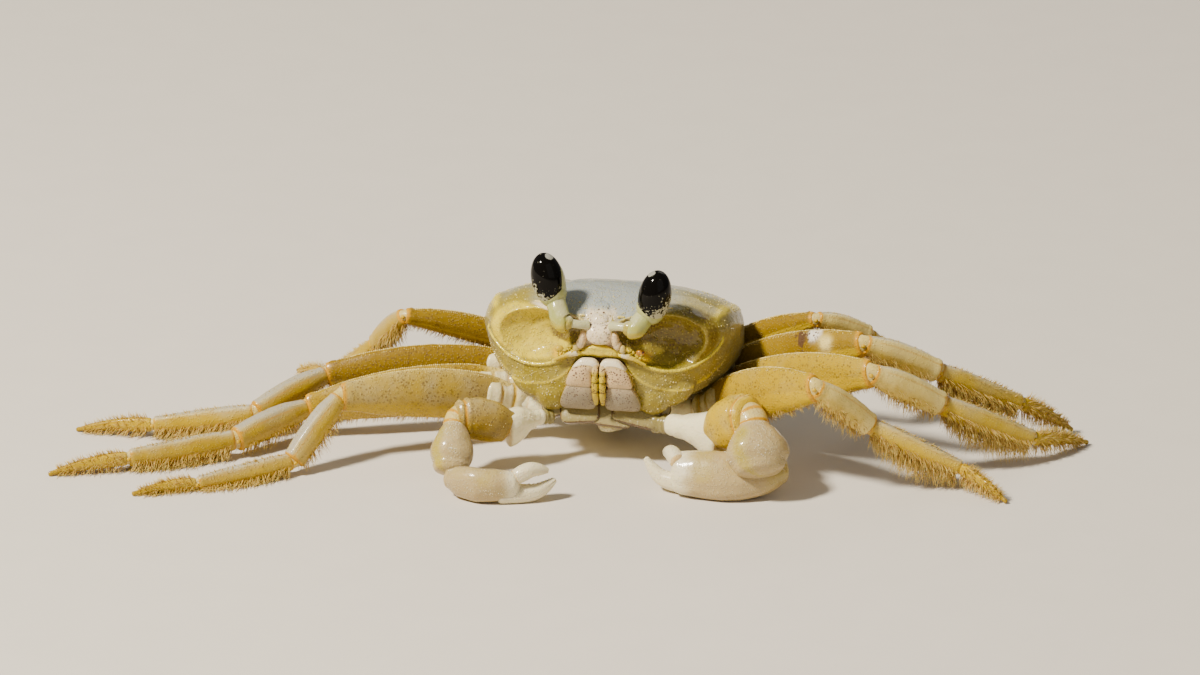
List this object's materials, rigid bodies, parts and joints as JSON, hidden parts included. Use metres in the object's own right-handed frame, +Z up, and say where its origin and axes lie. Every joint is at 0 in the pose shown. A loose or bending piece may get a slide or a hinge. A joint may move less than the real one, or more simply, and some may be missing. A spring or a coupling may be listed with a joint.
{
  "type": "ghost crab figure",
  "caption": "Life-size Atlantic ghost crab at rest, claws folded in front, eyes raised on stalks, legs spread wide on the ground",
  "frame": {"origin": "middle of the bounding box on the floor plane", "axes": "+Z up, the crab faces -Y, its left side is on +X"},
  "size_m": [0.164, 0.061, 0.036],
  "materials": {
    "back_shell": "granular shell, blue-grey in the middle and olive-yellow at the sides",
    "pale_shell": "smooth ivory shell",
    "leg_shell": "straw-yellow shell with golden bristles",
    "claw_shell": "finely granular white and lavender shell",
    "eyestalk": "smooth cream shell",
    "cornea": "glossy black",
    "feeler": "thin orange-brown shell"
  },
  "bodies": {
    "root": {"antenna_left": "feeler", "antenna_right": "feeler", "carapace": "back_shell", "claw_left_arm": "leg_shell", "claw_left_finger": "claw_shell", "claw_left_ischium": "pale_shell", "claw_left_palm": "claw_shell", "claw_left_wrist": "claw_shell", "claw_right_arm": "leg_shell", "claw_right_finger": "claw_shell", "claw_right_ischium": "pale_shell", "claw_right_palm": "claw_shell", "claw_right_wrist": "claw_shell", "cornea_left": "cornea", "cornea_right": "cornea", "eyestalk_left": "eyestalk", "eyestalk_right": "eyestalk", "leg_left_1_carpus": "leg_shell", "leg_left_1_dactyl": "leg_shell", "leg_left_1_merus": "leg_shell", "leg_left_1_propodus": "leg_shell", "leg_left_2_carpus": "leg_shell", "leg_left_2_dactyl": "leg_shell", "leg_left_2_merus": "leg_shell", "leg_left_2_propodus": "leg_shell", "leg_left_3_carpus": "leg_shell", "leg_left_3_dactyl": "leg_shell", "leg_left_3_merus": "leg_shell", "leg_left_3_propodus": "leg_shell", "leg_left_4_carpus": "leg_shell", "leg_left_4_dactyl": "leg_shell", "leg_left_4_merus": "leg_shell", "leg_left_4_propodus": "leg_shell", "leg_right_1_carpus": "leg_shell", "leg_right_1_dactyl": "leg_shell", "leg_right_1_merus": "leg_shell", "leg_right_1_propodus": "leg_shell", "leg_right_2_carpus": "leg_shell", "leg_right_2_dactyl": "leg_shell", "leg_right_2_merus": "leg_shell", "leg_right_2_propodus": "leg_shell", "leg_right_3_carpus": "leg_shell", "leg_right_3_dactyl": "leg_shell", "leg_right_3_merus": "leg_shell", "leg_right_3_propodus": "leg_shell", "leg_right_4_carpus": "leg_shell", "leg_right_4_dactyl": "leg_shell", "leg_right_4_merus": "leg_shell", "leg_right_4_propodus": "leg_shell", "maxilliped_left": "pale_shell", "maxilliped_right": "pale_shell", "pleon": "pale_shell", "thorax": "pale_shell"}
  },
  "joints": []
}
